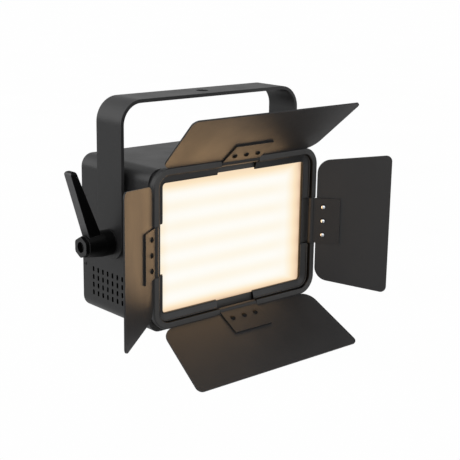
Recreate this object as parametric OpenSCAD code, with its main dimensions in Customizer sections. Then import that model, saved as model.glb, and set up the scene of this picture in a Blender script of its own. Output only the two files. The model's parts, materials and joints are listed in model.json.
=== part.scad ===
// Studio LED panel light with a tilting yoke and four barn-door leaves.
// Millimetres. Row frame: +Z up, the lamp faces -Y, and the origin is the
// centre of the yoke's mounting hole on the outer face of its top bar.

/* [Yoke] */
// Outside width of the yoke
yoke_w = 233; // [228:1:250]
// Width of the flat strip the yoke is bent from
yoke_strip = 40; // [30:1:50]
// Thickness of the strip
yoke_t = 3.5; // [3:0.5:4]
// Outside radius of the two bends
yoke_bend_r = 24; // [15:1:40]
// Height of the top face above the tilt axis
yoke_drop = 140; // [125:1:170]
// Diameter of the mounting hole
mount_d = 13; // [10:0.5:16]

/* [Housing] */
// Width of the sheet-metal housing
house_w = 216; // [212:1:216]
// Height of the housing
house_h = 161; // [158:1:164]
// Depth of the housing from its front edge to its back face
house_d = 110.6; // [108:0.2:120]
// Corner radius of the housing
house_r = 13; // [11:1:16]
// Thickness of the housing's sheet
wall = 2; // [1.5:0.5:2]
// How far the housing's centre sits below the lamp's centre line
house_sag = 2.5; // [1:0.5:3]
// Distance of the tilt axis behind the lamp's front plane
tilt_y = 60.5; // [58:0.5:64]

/* [Vents] */
// Columns of vent slots on each side
vent_cols = 11; // [5:1:11]
// Rows of vent slots
vent_rows = 4; // [2:1:4]
// Distance between slot centres, both ways
vent_pitch = 8.2; // [7:0.1:8.5]
// Width of one slot
vent_w = 2.9; // [1.6:0.1:3]
// Height of one slot
vent_h = 5.7; // [4:0.1:6]

/* [Barn-door frame] */
// Width of the barn-door frame
frame_w = 217.5; // [216:0.5:219]
// Height of the barn-door frame
frame_h = 159; // [158:0.5:160]
// Outside corner radius of the frame
frame_r = 19; // [16:1:22]
// Width of the raised rim
rim_band = 7; // [6.5:0.5:7.5]
// Depth of the raised rim
rim_d = 5.2; // [5.2:0.2:6]

/* [Leaves] */
// Length of a leaf, from its hinge axis to its far edge
leaf_reach = 83; // [70:1:84]
// Thickness of the leaf sheet
leaf_t = 1.5; // [1:0.1:1.5]
// Angle of the top leaf at rest, forward from lying flat
top_angle = 48; // [0:1:150]
// Angle of the bottom leaf at rest
bottom_angle = 59; // [0:1:150]
// Angle of the left leaf at rest
left_angle = 34; // [0:1:90]
// Angle of the right leaf at rest
right_angle = 55; // [0:1:90]
// Width of a hinge strap along its hinge
strap_w = 49; // [40:1:51]

/* [Light engine] */
// Rows of LEDs
led_rows = 6; // [4:1:8]
// LEDs in each row
led_cols = 12; // [8:1:14]
// Fins on the heat sink
fin_count = 23; // [11:2:23]

/* [Clamping lever] */
// Height of the lever's tip above its axis
lever_len = 75.5; // [55:0.5:90]
// Diameter of the lever's hub where it meets the yoke
hub_d = 25.6; // [22:0.2:28]

/* [Hidden] */
$fn = 64;
eps = 0.01;
run_gap = 0.05; // radial clearance of every running fit
corner_steps = 12; // straight steps round one corner of a sheet or bar

// Lamp frame: origin at the centre of the barn-door frame's front plane.
front_y = 9.4; // front edge of the housing
back_y = front_y + house_d; // back face of the housing
arm_in = yoke_w / 2 - yoke_t; // inner face of a yoke arm
arm_out = yoke_w / 2;
arm_rise = 2.5; // centre of an arm's round end above the tilt axis
side_x = house_w / 2; // outer face of the housing's side
stud_r = 4; // M8
bush_r = 6;
bush_bore_r = stud_r + run_gap;

// Barn-door frame
axis_y = 3.2; // hinge axes, behind the front plane
axis_in = 3.5; // hinge axes, inside the rim's outer edge
hinge_x = frame_w / 2 - axis_in;
hinge_z = frame_h / 2 - axis_in;
pin_r = 1.5;
pin_len = strap_w + 14;
knuckle_r = 3.4;
notch_w = strap_w + 1;
notch_in = 16; // how far a notch reaches in from the outer edge
notch_y = 8.2; // depth of a notch's floor
plate_y = 6.2; // front of the frame's base plate
frame_back = 9.2;
base_in = 1.25; // base plate's edge, inside the rim's outer edge
base_w = 189.8; // opening of the base plate
base_h = 131.8;
base_r = 5;
border_in = 15.4; // width of the sloped border, from the rim's outer edge
border_rim_y = 4; // the border's front at the rim, and at its inner edge
border_lip_y = 6.8;
border_back = 8;
win_w = 193; // light window of the bezel
win_h = 135;
win_r = 5;

// Leaves: the near edge clears the rim at every angle
horiz_root = 4.6; // near edge of the top and bottom leaves, from the axis
vert_root = 5.3; // near edge of the side leaves
near_r = 15;
far_r = 6;
horiz_near = 100.1; // half-widths of the top and bottom leaves
horiz_far = 108.8;
vert_near = 64.6; // half-heights of the side leaves
vert_far = 74.7;
strap_reach = 31;
strap_t = 1.6;
rivet_d = 13; // rivets' distance from the hinge axis
rivet_pitch = 15.2;
rivet_r = 1.5;
rivet_head_r = 2.9;
rivet_head_h = 1.9;

// Light engine, front to back
bezel_front = frame_back + 0.1;
diff_y = 12.5;
diff_t = 2;
diff_w = 197;
diff_h = 137.5;
box_w = 196; // light box
box_h = 136;
board_y = 39.2; // front of the LED board and back of the light box
board_t = 1.6;
sink_y = board_y + board_t;
sink_t = 4;
fin_back = 62;
fin_t = 1.4;
led_pitch_z = 20.2;
led_drop = 2; // the rows' centre below the lamp's centre line
led_pitch_x = 15.8;
chip_w = 5;
chip_h = 3.5;
chip_t = 0.7;
sink_w = 208;
post_x = 101.4; // posts on the bezel that the heat sink is screwed to
post_z = 45;
post_r = 2.6;
frame_screw_x = 60; // screws through the bezel into the barn-door frame
frame_screw_z = 71.8;
boss_h = 4;
screw_r = 1.5;

// Rear panel and what it holds
panel_t = 2;
panel_y = back_y - panel_t; // inner face of the rear panel
panel_w = house_w - 2 * wall - 0.2;
panel_h = house_h - 2 * wall - 0.2;
panel_r = house_r - wall;
flange_d = 12;
shell_screw_y = 115.9;
shell_screw_r = 1.1;
shell_screw_z = 35.4;
row_z = -56; // connector row
port_t = 2.4;
power_x = [-82, -46];
data_x = [46, 82];
port_w = 26;
port_h = 31;
port_r = 12; // barrel behind the panel
fuse_x = 0;
fan_x = -58;
fan_z = 16;
fan_size = 60;
fan_d = 15;
fan_hole = 25; // half the spacing of the fan's screws
fan_r = 27.5;
fan_y = panel_y - fan_d;
hub_r = 12;
shaft_r = 1.5;
blades = 7;
guard_t = 1.6;
screen_x = 52;
screen_z = 34;
screen_w = 46;
screen_h = 22;
button_z = 8;
button_pitch = 15;
button_r = 3.4;
button_gap = 0.08;
button_travel = 0.8;
switch_h = 6.9; // tip of a switch above the control board's front
eye_z = 60;
eye_hole_r = 6;
eye_r = 10;
eye_t = 3;
eye_out = 14; // the eye's hole stands this far behind the rear panel
eye_screw_x = 9;
bracket_t = 2;
driver_w = 130;
driver_h = 66;
driver_y = 66;
driver_d = 24;
driver_z = -37;
foot_x = 50; // standoffs of the driver's case
foot_z = 26;
control_y = 106;
control_w = 68;
control_h = 52;
control_z = 24;

// Clamping lever, measured outward from the yoke arm's outer face
washer_t = 1.2;
hub_len = 34.2;
hub_end_len = 4.2; // hexagonal end of the hub
hub_end_r = 9.9; // across its corners
bar_base = 19.5; // where the bar's centre leaves the hub
bar_tip = 44.9;
neck_r = 4.2;
core_r = 8;
tooth_h = 0.9;
teeth = 20;
tooth_z = 6; // start of the serrations
tooth_len = 3.5;
web_z = 11;
pocket_z = 17;
pocket_r = 5.4;

// ---------- helpers ----------

// Moves from the lamp frame to the row frame.
module at_lamp() {
  translate([0, -tilt_y, -yoke_drop]) children();
}

// Stands a shape drawn in XY up in XZ, with its thickness running to the back.
module upright(y = 0) {
  translate([0, y, 0]) rotate([90, 0, 0]) mirror([0, 0, 1]) children();
}

// Rounded rectangle with true arcs, centred.
module round_rect(w, h, r) {
  square([w - 2 * r, h], center = true);
  square([w, h - 2 * r], center = true);
  for (sx = [-1, 1], sz = [-1, 1])
    translate([sx * (w / 2 - r), sz * (h / 2 - r)]) circle(r);
}

// Convex outline through points given anticlockwise, each corner with its own
// radius. A radius of 0 leaves the corner sharp.
module rounded(points, radii) {
  n = len(points);
  polygon([for (i = [0 : n - 1])
    each corner(points[(i + n - 1) % n], points[i], points[(i + 1) % n], radii[i])]);
}

// Points along one rounded corner.
function corner(before, at, after, r) =
  let (u = (before - at) / norm(before - at), v = (after - at) / norm(after - at), half = acos(u * v) / 2)
  let (middle = at + (u + v) / norm(u + v) * r / sin(half), start = at + u * r / tan(half) - middle)
  r == 0 ? [at] : [for (k = [0 : corner_steps])
    let (a = k / corner_steps * (180 - 2 * half))
      middle + [start[0] * cos(a) - start[1] * sin(a), start[0] * sin(a) + start[1] * cos(a)]];

// Rounded-rectangle plate from y to y + t.
module plate(w, h, r, y, t) {
  upright(y) linear_extrude(t) round_rect(w, h, r);
}

// Flat ring between two rounded rectangles, from y to y + t.
module ring(w, h, r, in_w, in_h, in_r, y, t) {
  upright(y) linear_extrude(t) difference() {
    round_rect(w, h, r);
    round_rect(in_w, in_h, in_r);
  }
}

// Cylinder along Y from y to y + len.
module rod_y(x, z, y, len, r) {
  translate([x, y, z]) rotate([-90, 0, 0]) cylinder(r = r, h = len);
}

// Cylinder along X from x to x + len, at the tilt axis unless moved.
module rod_x(x, len, r, y = tilt_y, z = 0) {
  translate([x, y, z]) rotate([0, 90, 0]) cylinder(r = r, h = len);
}

// Tube along X.
module tube_x(x, len, r, bore, y = tilt_y, z = 0) {
  difference() {
    rod_x(x, len, r, y, z);
    rod_x(x - 1, len + 2, bore, y, z);
  }
}

// Both sides of the lamp.
module both_sides() {
  children();
  mirror([1, 0, 0]) children();
}

// The four places (+-x, +-z).
module four(x, z) {
  for (sx = [-1, 1], sz = [-1, 1]) translate([sx * x, 0, sz * z]) children();
}

// Pan-head screw: head on z = 0 pointing up, shank going down.
module pan_screw(len, r = screw_r, head_r = 2.8, head_h = 1.6) {
  difference() {
    union() {
      cylinder(r = head_r, h = head_h * 0.6);
      translate([0, 0, head_h * 0.6]) cylinder(r1 = head_r, r2 = head_r * 0.72, h = head_h * 0.4);
      translate([0, 0, -len]) cylinder(r = r, h = len);
    }
    for (a = [0, 90])
      rotate([0, 0, a]) translate([-head_r * 0.6, -0.3, head_h * 0.5]) cube([head_r * 1.2, 0.6, head_h]);
  }
}

// Screw driven forward into the rear panel, its head off the panel by seat.
module rear_screw(seat, len, head_r) {
  translate([0, back_y + seat, 0]) rotate([-90, 0, 0]) pan_screw(len, screw_r, head_r);
}

// ---------- yoke ----------

// Outline of the bent strip in XZ.
module yoke_outline() {
  difference() {
    hoop(arm_out, yoke_drop, yoke_bend_r);
    hoop(arm_in, yoke_drop - yoke_t, yoke_bend_r - yoke_t);
  }
}

// Upper half of a rounded rectangle that stands level with the arms' round ends.
module hoop(half_w, top, r) {
  translate([-half_w, arm_rise]) square([2 * half_w, top - r - arm_rise]);
  translate([-half_w + r, arm_rise]) square([2 * (half_w - r), top - arm_rise]);
  for (s = [-1, 1]) translate([s * (half_w - r), top - r]) circle(r);
}

module yoke() {
  color([0.16, 0.16, 0.17]) at_lamp() difference() {
    union() {
      upright(tilt_y - yoke_strip / 2) linear_extrude(yoke_strip) yoke_outline();
      both_sides() rod_x(arm_in, yoke_t, yoke_strip / 2, tilt_y, arm_rise);
    }
    both_sides() rod_x(arm_in - 1, yoke_t + 2, bush_r);
    translate([0, tilt_y, yoke_drop - 10]) cylinder(d = mount_d, h = 20);
  }
}

module pivot_bushes() {
  color([0.9, 0.9, 0.86]) at_lamp() both_sides() tube_x(arm_in, yoke_t, bush_r, bush_bore_r);
}

module pivot_washers() {
  color([0.2, 0.2, 0.21]) at_lamp() both_sides()
    tube_x(arm_out, washer_t, 12, stud_r + 0.3);
}

module friction_spacers() {
  color([0.1, 0.1, 0.1]) at_lamp() both_sides()
    tube_x(side_x + run_gap, arm_in - side_x - 2 * run_gap, 14, stud_r + 0.4);
}

// ---------- housing ----------

// One vent slot: a short bar with round ends, standing up.
module slot_shape() {
  square([vent_w, vent_h - vent_w], center = true);
  for (s = [-1, 1]) translate([0, s * (vent_h - vent_w) / 2]) circle(vent_w / 2);
}

// The grid of vent slots, cut through both sides at once.
module vent_cutter() {
  first_y = tilt_y - (vent_cols - 1) / 2 * vent_pitch;
  top_z = -38.2;
  rotate([90, 0, 90]) translate([0, 0, -side_x - 5]) linear_extrude(2 * side_x + 10)
    for (c = [0 : vent_cols - 1], r = [0 : vent_rows - 1])
      translate([first_y + c * vent_pitch, top_z - r * vent_pitch]) slot_shape();
}

module housing_shell() {
  color([0.15, 0.15, 0.16]) at_lamp() difference() {
    translate([0, 0, -house_sag])
      ring(house_w, house_h, house_r, house_w - 2 * wall, house_h - 2 * wall, house_r - wall,
           front_y, house_d);
    vent_cutter();
    rod_x(-side_x - 5, 2 * side_x + 10, stud_r + 0.5);
    for (s = [-1, 1])
      rod_x(-side_x - 5, 2 * side_x + 10, shell_screw_r + 0.1, shell_screw_y, s * shell_screw_z);
  }
}

module front_bezel() {
  sleeve_d = 12;
  sleeve_t = 1.5;
  color([0.12, 0.12, 0.13]) at_lamp() difference() {
    union() {
      translate([0, 0, -house_sag]) {
        plate(panel_w, panel_h, panel_r, bezel_front, diff_y - bezel_front);
        ring(panel_w, panel_h, panel_r, panel_w - 2 * sleeve_t, panel_h - 2 * sleeve_t,
             panel_r - sleeve_t, diff_y - eps, sleeve_d);
      }
      four(frame_screw_x, frame_screw_z) rod_y(0, 0, diff_y - eps, boss_h + eps, 2.8);
      four(post_x, post_z) rod_y(0, 0, diff_y - eps, sink_y - diff_y + eps, post_r);
    }
    plate(win_w, win_h, win_r, bezel_front - 1, 10);
    four(frame_screw_x, frame_screw_z) rod_y(0, 0, bezel_front - 1, 10, screw_r);
    four(post_x, post_z) rod_y(0, 0, sink_y - 8, 10, screw_r);
  }
}

module diffuser() {
  color([0.98, 0.94, 0.85]) at_lamp() plate(diff_w, diff_h, 3, diff_y, diff_t);
}

module light_box() {
  skin = 1.2;
  front = diff_y + diff_t;
  color([0.95, 0.95, 0.95]) at_lamp() difference() {
    plate(box_w, box_h, 3, front, board_y - front);
    plate(box_w - 2 * skin, box_h - 2 * skin, 3 - skin, front - 1, board_y - skin - front + 1);
    for (c = [0 : led_cols - 1], r = [0 : led_rows - 1]) led_at(c, r)
      translate([0, board_y, 0]) cube([chip_w + 0.6, 8, chip_h + 0.6], center = true);
  }
}

// Place of one LED on the board.
module led_at(col, row) {
  translate([(col - (led_cols - 1) / 2) * led_pitch_x, 0,
             (row - (led_rows - 1) / 2) * led_pitch_z - led_drop]) children();
}

module led_board() {
  color([0.9, 0.92, 0.9]) at_lamp() plate(box_w, box_h, 3, board_y, board_t);
}

module led_chips() {
  color([0.96, 0.85, 0.3]) at_lamp()
    for (c = [0 : led_cols - 1], r = [0 : led_rows - 1]) led_at(c, r)
      translate([-chip_w / 2, board_y - chip_t, -chip_h / 2]) cube([chip_w, chip_t, chip_h]);
}

module heat_sink() {
  fin_span = 176;
  step = fin_span / (fin_count - 1);
  color([0.12, 0.12, 0.13]) at_lamp() difference() {
    union() {
      plate(sink_w, box_h, 3, sink_y, sink_t);
      for (i = [0 : fin_count - 1])
        translate([-fin_span / 2 + i * step - fin_t / 2, sink_y + sink_t - eps, -box_h / 2 + 2])
          cube([fin_t, fin_back - sink_y - sink_t, box_h - 4]);
    }
    four(post_x, post_z) rod_y(0, 0, sink_y - 1, sink_t + 2, screw_r + 0.2);
  }
}

module stack_screws() {
  color([0.75, 0.75, 0.77]) at_lamp()
    four(post_x, post_z) translate([0, sink_y + sink_t, 0]) rotate([-90, 0, 0])
      pan_screw(sink_t + 6);
}

// ---------- tilt pivots ----------

// Flanged nuts clamped behind the housing's sides.
module trunnion_inserts() {
  flange_t = 3;
  nut_len = 12;
  inner = side_x - wall;
  color([0.6, 0.6, 0.62]) at_lamp() both_sides() difference() {
    union() {
      rod_x(inner - flange_t, flange_t, 15);
      rod_x(inner - nut_len, nut_len, 9);
    }
    rod_x(inner - nut_len - 1, nut_len + 2, stud_r + run_gap);
  }
}

// Plain socket-head bolt on the right-hand side.
module pivot_bolt() {
  head_h = 6;
  start = side_x - wall - 14;
  head_x = arm_out + washer_t;
  color([0.2, 0.2, 0.21]) at_lamp() difference() {
    union() {
      rod_x(start, head_x - start + eps, stud_r);
      rod_x(head_x, head_h, 7);
    }
    translate([head_x + head_h - 3.5, tilt_y, 0]) rotate([0, 90, 0]) cylinder(r = 3.4, h = 5, $fn = 6);
  }
}

// ---------- clamping lever on the left-hand side ----------

// Local frame: +Z points outward from the yoke arm, +X up.
module at_lever() {
  at_lamp() translate([-arm_out, tilt_y, 0]) rotate([0, -90, 0]) children();
}

// Serrated outline shared by the insert and the handle.
module serration(r, depth) {
  polygon([for (i = [0 : 2 * teeth - 1])
    let (rr = i % 2 == 0 ? r : r - depth, a = i * 180 / teeth)
      [rr * cos(a), rr * sin(a)]]);
}

module lever_insert() {
  stud_back = arm_out - (side_x - wall - 14);
  color([0.62, 0.62, 0.64]) at_lever() difference() {
    union() {
      translate([0, 0, -stud_back]) cylinder(r = stud_r, h = stud_back + washer_t + 1);
      translate([0, 0, washer_t + 0.1]) cylinder(r = 9.6, h = tooth_z - washer_t - 1.6);
      translate([0, 0, washer_t + 0.5]) cylinder(r = core_r - tooth_h - 0.4, h = tooth_z);
      translate([0, 0, tooth_z]) linear_extrude(tooth_len) serration(core_r, tooth_h);
      translate([0, 0, tooth_z + tooth_len - eps]) cylinder(r = neck_r, h = 9);
    }
    translate([0, 0, 10]) cylinder(r = 2.5, h = 12);
  }
}

module lever_screw() {
  color([0.3, 0.3, 0.31]) at_lever() difference() {
    union() {
      translate([0, 0, 11]) cylinder(r = 2.5, h = 15);
      translate([0, 0, 25.6]) cylinder(r = 5, h = 4);
    }
    translate([0, 0, 26.8]) cylinder(r = 2.3, h = 5, $fn = 6);
  }
}

// Return spring, drawn as the stack of turns it forms when compressed.
module lever_spring() {
  wire_r = 0.4;
  color([0.7, 0.7, 0.72]) at_lever()
    for (i = [0 : 2]) translate([0, 0, 25.6 - wire_r - i * 2.05 * wire_r])
      rotate_extrude() translate([4.75, 0]) circle(wire_r, $fn = 24);
}

module lever_handle() {
  base_r = hub_d / 2;
  waist_r = 10.6; // behind the hexagonal end
  barrel = 12; // the hub tapers from here
  waist_z = hub_len - hub_end_len;
  color([0.07, 0.07, 0.07]) at_lever() difference() {
    union() {
      translate([0, 0, washer_t + 0.1]) cylinder(r = base_r, h = barrel - washer_t);
      translate([0, 0, barrel]) cylinder(r1 = base_r, r2 = waist_r, h = waist_z - barrel);
      translate([0, 0, waist_z - 0.5]) linear_extrude(hub_end_len + 0.5) hub_end();
      lever_bar();
    }
    translate([0, 0, -1]) cylinder(r = 10, h = tooth_z + 1);
    translate([0, 0, tooth_z - eps]) linear_extrude(tooth_len + 2 * eps)
      serration(core_r + 0.15, tooth_h);
    translate([0, 0, tooth_z + tooth_len]) cylinder(r = core_r - 0.6, h = web_z - tooth_z - tooth_len);
    translate([0, 0, web_z - 1]) cylinder(r = neck_r + run_gap, h = 10);
    translate([0, 0, pocket_z]) cylinder(r = pocket_r, h = hub_len);
  }
}

// Hexagon with rounded corners, one of them up.
module hub_end() {
  rounded([for (a = [0 : 60 : 300]) hub_end_r * 1.08 * [cos(a), sin(a)]], [for (i = [1 : 6]) 3.6]);
}

// The lever's bar: tapered both ways, leaning outward, with a rounded tip.
module lever_bar() {
  base_x = 6;
  base_half = [7.3, 6.1]; // half sizes outward and sideways
  tip_half = [3.4, 5.7];
  tip_r = 3;
  radii = [0, tip_r, tip_r, 0];
  intersection() {
    translate([0, 10, 0]) rotate([90, 0, 0]) linear_extrude(20)
      rounded([[base_x, bar_base - base_half[0]], [lever_len, bar_tip - tip_half[0]],
               [lever_len, bar_tip + tip_half[0]], [base_x, bar_base + base_half[0]]], radii);
    linear_extrude(bar_tip + 10)
      rounded([[base_x, -base_half[1]], [lever_len, -tip_half[1]],
               [lever_len, tip_half[1]], [base_x, base_half[1]]], radii);
  }
}

// ---------- barn-door frame ----------

// Sweeps a profile round a rounded rectangle. The profile's x is the distance
// from the corner's centre and its y points to the front.
module sweep_ring(w, h, r) {
  for (a = [0 : 3]) {
    across = a % 2 == 0 ? w : h;
    up = a % 2 == 0 ? h : w;
    rotate([0, 0, 90 * a]) {
      translate([across / 2 - r, up / 2 - r, 0]) rotate_extrude(angle = 90, $fn = 96) children();
      translate([-(across / 2 - r), up / 2 - r, 0]) rotate([90, 0, 90])
        linear_extrude(across - 2 * r) children();
    }
  }
}

// Section of the raised rim, with a rounded front.
module rim_section() {
  out = 1.5;
  inn = 1.2;
  x0 = frame_r - rim_band;
  translate([x0, -rim_d]) square([rim_band, rim_d - out]);
  translate([x0, -out - eps]) square([rim_band - out, out - inn + eps]);
  translate([x0 + inn, -inn - eps]) square([rim_band - out - inn, inn + eps]);
  translate([frame_r - out, -out]) circle(out);
  translate([x0 + inn, -inn]) circle(inn);
}

// Section of the sloped border inside the rim.
module border_section() {
  x0 = frame_r - border_in;
  x1 = frame_r - rim_band + 0.5;
  polygon([[x0, -border_lip_y], [x0, -border_back], [x1, -border_back], [x1, -border_rim_y]]);
}

// Four hinge places: children are drawn for the top one and turned round.
// Local frame: +X along the hinge, +Y outward, +Z to the front.
module at_hinge(side) {
  turn = [0, 180, 90, -90][side];
  out = side < 2 ? hinge_z : hinge_x;
  upright() mirror([0, 0, 1]) rotate([0, 0, turn]) translate([0, out, -axis_y]) children();
}

module barndoor_frame() {
  color([0.13, 0.13, 0.14]) at_lamp() difference() {
    union() {
      upright() mirror([0, 0, 1]) sweep_ring(frame_w, frame_h, frame_r) {
        rim_section();
        border_section();
      }
      ring(frame_w - 5, frame_h - 5, frame_r - 2.5, frame_w - 2 * rim_band, frame_h - 2 * rim_band,
           frame_r - rim_band, rim_d - eps, plate_y - rim_d + 2 * eps);
      ring(frame_w - 2 * base_in, frame_h - 2 * base_in, frame_r - base_in, base_w, base_h, base_r,
           plate_y, frame_back - plate_y);
    }
    for (side = [0 : 3]) at_hinge(side) {
      translate([-notch_w / 2, axis_in - notch_in, axis_y - notch_y])
        cube([notch_w, notch_in + 2, notch_y + 2]);
      translate([-pin_len / 2, 0, 0]) rotate([0, 90, 0]) cylinder(r = pin_r, h = pin_len);
    }
    four(frame_screw_x, frame_screw_z) rod_y(0, 0, frame_back - 2.5, 5, screw_r - 0.25);
  }
}

module frame_screws() {
  color([0.4, 0.4, 0.42]) at_lamp()
    four(frame_screw_x, frame_screw_z) translate([0, diff_y + boss_h, 0]) rotate([-90, 0, 0])
      pan_screw(diff_y + boss_h - frame_back + 2, screw_r - 0.25, 2.5);
}

module hinge_pins() {
  color([0.55, 0.55, 0.57]) at_lamp()
    for (side = [0 : 3]) at_hinge(side)
      translate([-pin_len / 2, 0, 0]) rotate([0, 90, 0]) cylinder(r = pin_r, h = pin_len);
}

// ---------- leaves ----------

// Local frame of a leaf: +X along the hinge, +Y away from it, +Z to the light.
module at_leaf(side) {
  angle = [top_angle, bottom_angle, left_angle, right_angle][side];
  at_lamp() at_hinge(side) rotate([angle, 0, 0]) children();
}

module leaf(side, root, near_w, far_w) {
  color([0.17, 0.17, 0.18]) at_leaf(side) difference() {
    translate([0, 0, -leaf_t]) linear_extrude(leaf_t)
      rounded([[-near_w, root], [near_w, root], [far_w, leaf_reach], [-far_w, leaf_reach]],
              [near_r, near_r, far_r, far_r]);
    rivet_holes();
  }
}

module rivet_holes() {
  for (i = [-1 : 1]) translate([i * rivet_pitch, rivet_d, -5]) cylinder(r = rivet_r, h = 10);
}

// Hinge strap: a plate on the leaf's inner face, rolled round the hinge pin.
module hinge_strap(side) {
  root = 1.8;
  color([0.14, 0.14, 0.15]) at_leaf(side) difference() {
    union() {
      translate([-strap_w / 2, 0, 0]) rotate([0, 90, 0]) cylinder(r = knuckle_r, h = strap_w);
      translate([-strap_w / 2, root, 0]) cube([strap_w, strap_reach - root, strap_t]);
    }
    translate([-strap_w, 0, 0]) rotate([0, 90, 0]) cylinder(r = pin_r + run_gap, h = 2 * strap_w);
    rivet_holes();
  }
}

// Three round-head rivets through the strap and the leaf.
module rivet_row(side) {
  color([0.8, 0.8, 0.82]) at_leaf(side)
    for (i = [-1 : 1]) translate([i * rivet_pitch, rivet_d, 0]) {
      translate([0, 0, -leaf_t - 0.6]) cylinder(r = rivet_r, h = leaf_t + strap_t + 0.8);
      translate([0, 0, -leaf_t - 0.8]) cylinder(r = rivet_head_r - 0.4, h = 0.8);
      translate([0, 0, strap_t]) rotate_extrude() intersection() {
        translate([0, rivet_head_h - dome_r()]) circle(dome_r());
        square([rivet_head_r, rivet_head_h]);
      }
    }
}

// Radius of a rivet head's dome.
function dome_r() = (rivet_head_r * rivet_head_r + rivet_head_h * rivet_head_h) / (2 * rivet_head_h);

module leaf_top() { leaf(0, horiz_root, horiz_near, horiz_far); }
module leaf_bottom() { leaf(1, horiz_root, horiz_near, horiz_far); }
module leaf_left() { leaf(2, vert_root, vert_near, vert_far); }
module leaf_right() { leaf(3, vert_root, vert_near, vert_far); }
module hinge_top() { hinge_strap(0); }
module hinge_bottom() { hinge_strap(1); }
module hinge_left() { hinge_strap(2); }
module hinge_right() { hinge_strap(3); }
module rivets_top() { rivet_row(0); }
module rivets_bottom() { rivet_row(1); }
module rivets_left() { rivet_row(2); }
module rivets_right() { rivet_row(3); }

// ---------- rear panel ----------

// Screws of one connector sit on its flange's diagonal.
module port_screw_at(x) {
  for (s = [-1, 1]) translate([x + s * 9.5, 0, row_z + s * 12]) children();
}

module rear_panel() {
  color([0.14, 0.14, 0.15]) at_lamp() difference() {
    translate([0, 0, -house_sag]) {
      plate(panel_w, panel_h, panel_r, panel_y, panel_t);
      ring(panel_w, panel_h, panel_r, panel_w - 3, panel_h - 3, panel_r - 1.5,
           panel_y - flange_d, flange_d + eps);
    }
    for (s = [-1, 1])
      rod_x(-side_x - 5, 2 * side_x + 10, shell_screw_r, shell_screw_y, s * shell_screw_z);
    for (x = concat(power_x, data_x)) {
      rod_y(x, row_z, panel_y - 1, 5, port_r);
      port_screw_at(x) rod_y(0, 0, panel_y - 1, 5, screw_r);
    }
    rod_y(fuse_x, row_z, panel_y - 1, 5, 7);
    rod_y(fan_x, fan_z, panel_y - 1, 5, fan_r + 0.5);
    at_fan() four(fan_hole, fan_hole) rod_y(0, 0, panel_y - 1, 5, screw_r + 0.1);
    translate([screen_x, 0, screen_z]) plate(screen_w, screen_h, 2, panel_y - 1, 5);
    for (i = [0 : 3]) rod_y(button_x(i), button_z, panel_y - 1, 5, button_r + button_gap);
    for (s = [-1, 1]) rod_y(s * eye_screw_x, eye_z, panel_y - 1, 5, screw_r);
    latch_pocket(0.3);
  }
}

function button_x(i) = screen_x + (i - 1.5) * button_pitch;

module shell_screws() {
  color([0.1, 0.1, 0.1]) at_lamp() both_sides()
    for (s = [-1, 1])
      translate([side_x, shell_screw_y, s * shell_screw_z]) rotate([0, 90, 0])
        pan_screw(6, shell_screw_r, 1.9, 0.7);
}

// Screws of the rear panel: connectors, safety bracket and fan.
module panel_screws() {
  color([0.1, 0.1, 0.1]) at_lamp() {
    for (x = concat(power_x, data_x)) port_screw_at(x) rear_screw(port_t, 6, 2.4);
    for (s = [-1, 1]) translate([s * eye_screw_x, 0, eye_z]) rear_screw(bracket_t, 6, 2.4);
    at_fan() four(fan_hole, fan_hole) rear_screw(guard_t, fan_d + panel_t, 2.8);
  }
}

// ---------- fan ----------

module at_fan() {
  translate([fan_x, 0, fan_z]) children();
}

module fan_frame() {
  color([0.08, 0.08, 0.08]) at_lamp() at_fan() difference() {
    union() {
      difference() {
        plate(fan_size, fan_size, 4, fan_y, fan_d);
        rod_y(0, 0, fan_y - 1, fan_d + 2, fan_r + 0.6);
      }
      rod_y(0, 0, fan_y, 2, hub_r);
      rod_y(0, 0, fan_y + 1, 5, 3.2);
      for (a = [45 : 90 : 315]) rotate([0, a, 0])
        translate([hub_r - 2, fan_y, -1.2]) cube([fan_r - hub_r + 3.5, 2, 2.4]);
    }
    four(fan_hole, fan_hole) rod_y(0, 0, fan_y - 1, fan_d + 2, screw_r + 0.1);
    rod_y(0, 0, fan_y - 1, 8, shaft_r + run_gap);
  }
}

module fan_rotor() {
  blade_y = fan_y + 3;
  blade_d = 9.5;
  pitch = 38;
  color([0.1, 0.1, 0.1]) at_lamp() at_fan() {
    difference() {
      rod_y(0, 0, blade_y, 11, hub_r);
      rod_y(0, 0, blade_y - 1, 10, hub_r - 1.2);
    }
    rod_y(0, 0, fan_y + 0.4, fan_d - 2, shaft_r);
    intersection() {
      difference() {
        rod_y(0, 0, blade_y, blade_d, fan_r);
        rod_y(0, 0, blade_y - 1, blade_d + 2, hub_r - 0.6);
      }
      for (i = [0 : blades - 1])
        translate([0, blade_y + blade_d / 2, 0]) rotate([0, i * 360 / blades, 0])
          rotate([pitch, 0, 0]) translate([hub_r - 1, -10, -0.7]) cube([fan_r, 20, 1.4]);
    }
  }
}

// Finger guard stamped from sheet: four rings on four spokes, with screw eyes.
module fan_guard() {
  wire = 1.6;
  corner = fan_hole * sqrt(2);
  color([0.6, 0.6, 0.62]) at_lamp() at_fan() upright(back_y) linear_extrude(guard_t) difference() {
    union() {
      for (r = [7, 14, 21, 28]) difference() {
        circle(r);
        circle(r - wire);
      }
      for (a = [45 : 90 : 315]) rotate(a) translate([6, -wire / 2]) square([corner - 8.6, wire]);
      for (a = [45 : 90 : 315]) rotate(a) translate([corner, 0]) circle(3.4);
    }
    for (a = [45 : 90 : 315]) rotate(a) translate([corner, 0]) circle(screw_r + 0.1);
  }
}

// ---------- driver, controls ----------

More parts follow.
